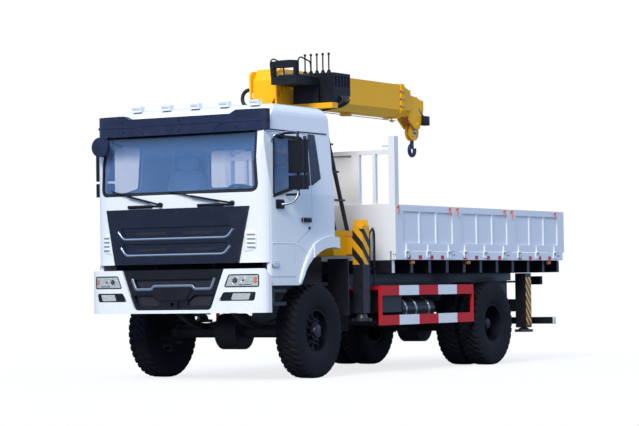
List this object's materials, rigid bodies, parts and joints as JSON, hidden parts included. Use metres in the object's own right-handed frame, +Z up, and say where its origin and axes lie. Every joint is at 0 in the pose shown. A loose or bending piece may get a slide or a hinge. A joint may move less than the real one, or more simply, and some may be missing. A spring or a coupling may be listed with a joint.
{
  "type": "truck-mounted telescopic crane",
  "caption": "Flat-fronted truck with a slewing telescopic crane behind its tilting cab, a bed with folding dropsides, and jack legs that carry it while it lifts.",
  "frame": {"origin": "on the ground under the middle of the vehicle", "axes": "+X forward, +Y to the vehicle's left, +Z up"},
  "size_m": [7.9, 2.96, 3.93],
  "materials": {
    "cab_paint": "gloss",
    "bed_paint": "gloss",
    "crane_paint": "gloss",
    "chassis_paint": "satin",
    "axle_iron": "matte",
    "black_plastic": "matte",
    "visor_plastic": "gloss",
    "grille_plastic": "satin",
    "tyre_rubber": "matte",
    "rim_paint": "satin",
    "cab_glass": "clear",
    "lamp_lens": "gloss",
    "rod_chrome": "polished",
    "guard_paint": "gloss",
    "seat_cloth": "woven",
    "dash_plastic": "matte",
    "hose_rubber": "matte",
    "jack_steel": "satin"
  },
  "bodies": {
    "chassis": {"chassis_frame": "chassis_paint", "driveline": "axle_iron", "front_axle": "axle_iron", "rear_axle": "axle_iron", "front_bumper": "cab_paint", "bumper_grille": "black_plastic", "lamps": "lamp_lens", "tanks_and_boxes": "chassis_paint", "side_guards": "guard_paint", "bed_floor": "bed_paint", "bed_headboard": "bed_paint", "crane_base": "crane_paint", "ladder": "chassis_paint"},
    "cab": {"cab_shell": "cab_paint", "cab_roof": "cab_paint", "cab_front": "cab_paint", "cab_glass": "cab_glass", "sun_visor": "visor_plastic", "grille": "grille_plastic", "seats": "seat_cloth", "dashboard": "dash_plastic"},
    "left_door": {"door_left": "cab_paint", "door_glass_left": "cab_glass", "mirror_left": "black_plastic"},
    "right_door": {"door_right": "cab_paint", "door_glass_right": "cab_glass", "mirror_right": "black_plastic"},
    "left_knuckle": {"knuckle_left": "axle_iron"},
    "right_knuckle": {"knuckle_right": "axle_iron"},
    "front_left_wheel": {"tyre_front_left": "tyre_rubber", "rim_front_left": "rim_paint"},
    "front_right_wheel": {"tyre_front_right": "tyre_rubber", "rim_front_right": "rim_paint"},
    "rear_left_wheels": {"tyres_rear_left": "tyre_rubber", "rims_rear_left": "rim_paint"},
    "rear_right_wheels": {"tyres_rear_right": "tyre_rubber", "rims_rear_right": "rim_paint"},
    "left_dropside_1": {"side_left_1": "bed_paint"},
    "left_dropside_2": {"side_left_2": "bed_paint"},
    "left_dropside_3": {"side_left_3": "bed_paint"},
    "right_dropside_1": {"side_right_1": "bed_paint"},
    "right_dropside_2": {"side_right_2": "bed_paint"},
    "right_dropside_3": {"side_right_3": "bed_paint"},
    "rear_gate": {"tailgate": "bed_paint"},
    "column": {"crane_column": "crane_paint", "control_seat": "black_plastic", "hydraulic_hose": "hose_rubber"},
    "luff_barrel": {"luff_cylinder": "chassis_paint"},
    "luff_ram": {"luff_rod": "rod_chrome"},
    "boom_base": {"boom_1": "crane_paint"},
    "boom_second": {"boom_2": "crane_paint"},
    "boom_third": {"boom_3": "crane_paint"},
    "boom_top": {"boom_4": "crane_paint"},
    "hook": {"hook_block": "crane_paint"},
    "left_outrigger": {"outrigger_left": "chassis_paint"},
    "right_outrigger": {"outrigger_right": "chassis_paint"},
    "front_left_jack": {"jack_front_left": "jack_steel"},
    "front_right_jack": {"jack_front_right": "jack_steel"},
    "rear_left_jack": {"jack_rear_left": "jack_steel"},
    "rear_right_jack": {"jack_rear_right": "jack_steel"}
  },
  "joints": [
    {"name": "crane_slew", "type": "hinge", "parent": "chassis", "child": "column", "pos_m": [1.6, 0, 1.82], "axis": [0, 0, 1], "continuous": true},
    {"name": "boom_luff", "type": "hinge", "parent": "column", "child": "boom_base", "pos_m": [1.8, 0, 3.63], "axis": [0, 1, 0], "range_deg": [0, 75]},
    {"name": "boom_extend_2", "type": "slide", "parent": "boom_base", "child": "boom_second", "axis": [-1, 0, 0], "range_m": [0, 2.3]},
    {"name": "boom_extend_3", "type": "slide", "parent": "boom_second", "child": "boom_third", "axis": [-1, 0, 0], "range_m": [0, 2.3]},
    {"name": "boom_extend_4", "type": "slide", "parent": "boom_third", "child": "boom_top", "axis": [-1, 0, 0], "range_m": [0, 2.3]},
    {"name": "hook_swing", "type": "hinge", "parent": "boom_top", "child": "hook", "pos_m": [-1.805, 0, 3.25], "axis": [0, -1, 0], "range_deg": [-5, 75]},
    {"name": "luff_barrel_tilt", "type": "hinge", "parent": "column", "child": "luff_barrel", "pos_m": [1.215, 0, 1.91], "axis": [0, 1, 0], "range_deg": [0, 8.31]},
    {"name": "luff_ram_slide", "type": "slide", "parent": "luff_barrel", "child": "luff_ram", "axis": [-0.1529, 0, 0.9882], "range_m": [0, 1.1002]},
    {"name": "cab_tilt", "type": "hinge", "parent": "chassis", "child": "cab", "pos_m": [3.785, 0, 1.388], "axis": [0, 1, 0], "range_deg": [0, 50]},
    {"name": "left_door_swing", "type": "hinge", "parent": "cab", "child": "left_door", "pos_m": [3.703, 1.2, 1.9], "axis": [0, 0, -1], "range_deg": [0, 70]},
    {"name": "right_door_swing", "type": "hinge", "parent": "cab", "child": "right_door", "pos_m": [3.703, -1.2, 1.9], "axis": [0, 0, 1], "range_deg": [0, 70]},
    {"name": "left_steer", "type": "hinge", "parent": "chassis", "child": "left_knuckle", "pos_m": [2.65, 0.85, 0.55], "axis": [0, 0, 1], "range_deg": [-35, 35]},
    {"name": "right_steer", "type": "hinge", "parent": "chassis", "child": "right_knuckle", "pos_m": [2.65, -0.85, 0.55], "axis": [0, 0, 1], "range_deg": [-35, 35]},
    {"name": "front_left_spin", "type": "hinge", "parent": "left_knuckle", "child": "front_left_wheel", "pos_m": [2.65, 1.04, 0.55], "axis": [0, 1, 0], "continuous": true},
    {"name": "front_right_spin", "type": "hinge", "parent": "right_knuckle", "child": "front_right_wheel", "pos_m": [2.65, -1.04, 0.55], "axis": [0, 1, 0], "continuous": true},
    {"name": "rear_left_spin", "type": "hinge", "parent": "chassis", "child": "rear_left_wheels", "pos_m": [-1.8, 0.91, 0.55], "axis": [0, 1, 0], "continuous": true},
    {"name": "rear_right_spin", "type": "hinge", "parent": "chassis", "child": "rear_right_wheels", "pos_m": [-1.8, -0.91, 0.55], "axis": [0, 1, 0], "continuous": true},
    {"name": "left_dropside_1_fold", "type": "hinge", "parent": "chassis", "child": "left_dropside_1", "pos_m": [0, 1.263, 1.497], "axis": [1, 0, 0], "range_deg": [-180, 0]},
    {"name": "right_dropside_1_fold", "type": "hinge", "parent": "chassis", "child": "right_dropside_1", "pos_m": [0, -1.263, 1.497], "axis": [-1, 0, 0], "range_deg": [-180, 0]},
    {"name": "left_dropside_2_fold", "type": "hinge", "parent": "chassis", "child": "left_dropside_2", "pos_m": [0, 1.263, 1.497], "axis": [1, 0, 0], "range_deg": [-180, 0]},
    {"name": "right_dropside_2_fold", "type": "hinge", "parent": "chassis", "child": "right_dropside_2", "pos_m": [0, -1.263, 1.497], "axis": [-1, 0, 0], "range_deg": [-180, 0]},
    {"name": "left_dropside_3_fold", "type": "hinge", "parent": "chassis", "child": "left_dropside_3", "pos_m": [0, 1.263, 1.497], "axis": [1, 0, 0], "range_deg": [-180, 0]},
    {"name": "right_dropside_3_fold", "type": "hinge", "parent": "chassis", "child": "right_dropside_3", "pos_m": [0, -1.263, 1.497], "axis": [-1, 0, 0], "range_deg": [-180, 0]},
    {"name": "rear_gate_fold", "type": "hinge", "parent": "chassis", "child": "rear_gate", "pos_m": [-3.937, 0, 1.497], "axis": [0, 1, 0], "range_deg": [-180, 0]},
    {"name": "left_outrigger_slide", "type": "slide", "parent": "chassis", "child": "left_outrigger", "axis": [0, 1, 0], "range_m": [0, 1]},
    {"name": "right_outrigger_slide", "type": "slide", "parent": "chassis", "child": "right_outrigger", "axis": [0, -1, 0], "range_m": [0, 1]},
    {"name": "front_left_jack_slide", "type": "slide", "parent": "left_outrigger", "child": "front_left_jack", "axis": [0, 0, -1], "range_m": [0, 0.64]},
    {"name": "front_right_jack_slide", "type": "slide", "parent": "right_outrigger", "child": "front_right_jack", "axis": [0, 0, -1], "range_m": [0, 0.64]},
    {"name": "rear_left_jack_slide", "type": "slide", "parent": "chassis", "child": "rear_left_jack", "axis": [0, 0, -1], "range_m": [0, 0.4]},
    {"name": "rear_right_jack_slide", "type": "slide", "parent": "chassis", "child": "rear_right_jack", "axis": [0, 0, -1], "range_m": [0, 0.4]}
  ],
  "couplings": [
    {"joint": "boom_extend_3", "follows": "boom_extend_2", "ratio": 1},
    {"joint": "boom_extend_4", "follows": "boom_extend_2", "ratio": 1},
    {"joint": "luff_barrel_tilt", "follows": "boom_luff", "ratio": 0.097444},
    {"joint": "luff_ram_slide", "follows": "boom_luff", "m_per_rad": 0.82518},
    {"joint": "right_steer", "follows": "left_steer", "ratio": 1}
  ]
}
